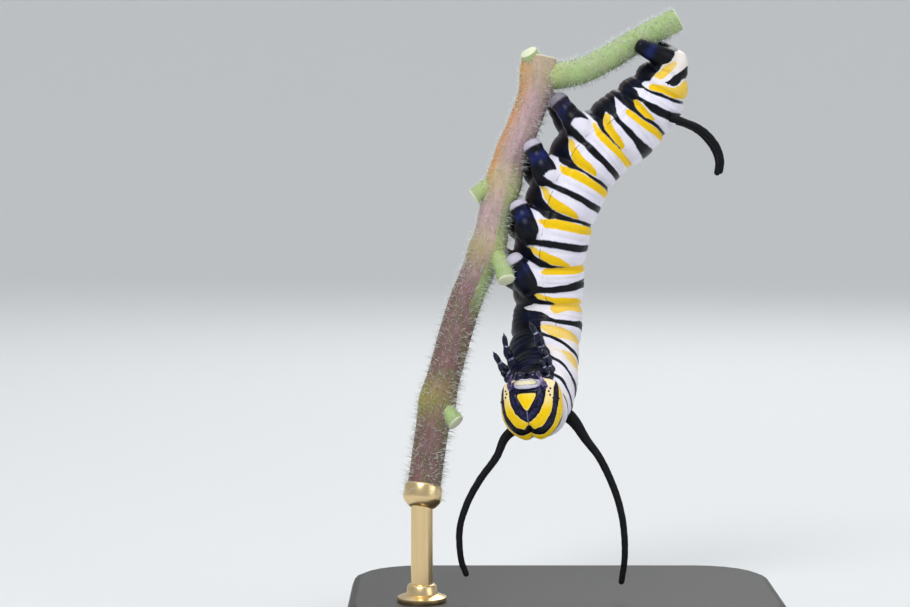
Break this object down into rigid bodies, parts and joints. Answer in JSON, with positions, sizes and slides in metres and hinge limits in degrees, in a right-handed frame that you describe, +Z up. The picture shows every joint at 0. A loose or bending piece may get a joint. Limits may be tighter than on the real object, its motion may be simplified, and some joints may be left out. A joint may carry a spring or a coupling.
{
  "type": "monarch butterfly larva",
  "caption": "Still, life-size larva of a monarch butterfly, climbing head down along a cut, hairy stem that a small display stand holds up",
  "frame": {"origin": "middle of the underside of the stand's base, which is the lowest face and covers the whole part in plan", "axes": "+Z up; the larva faces -Y, towards a viewer who sees its right side, and its tail points to +X and up"},
  "size_m": [0.024, 0.0164, 0.0348],
  "materials": {
    "skin": "soft, finely wrinkled skin, banded in black, white and yellow",
    "head_shell": "smooth, shiny head capsule, black with yellow bands",
    "proleg": "black, slightly glossy skin with a white spot",
    "horn": "shiny black horn",
    "velvet": "velvety black",
    "stem": "green and purplish-brown plant stem with short white hairs",
    "rod": "satin brass",
    "base": "satin black"
  },
  "bodies": {
    "root": {"abdomen_front": "skin", "abdomen_middle": "skin", "abdomen_rear": "skin", "clasper_left": "proleg", "clasper_right": "proleg", "filament_front_left": "velvet", "filament_front_right": "velvet", "filament_rear_left": "velvet", "filament_rear_right": "velvet", "head": "head_shell", "leg_front_left": "horn", "leg_front_right": "horn", "leg_middle_left": "horn", "leg_middle_right": "horn", "leg_rear_left": "horn", "leg_rear_right": "horn", "perch_stalk": "stem", "perch_stem": "stem", "proleg_3_left": "proleg", "proleg_3_right": "proleg", "proleg_4_left": "proleg", "proleg_4_right": "proleg", "proleg_5_left": "proleg", "proleg_5_right": "proleg", "proleg_6_left": "proleg", "proleg_6_right": "proleg", "stand_base": "base", "stand_rod": "rod", "thorax": "skin"}
  },
  "joints": []
}
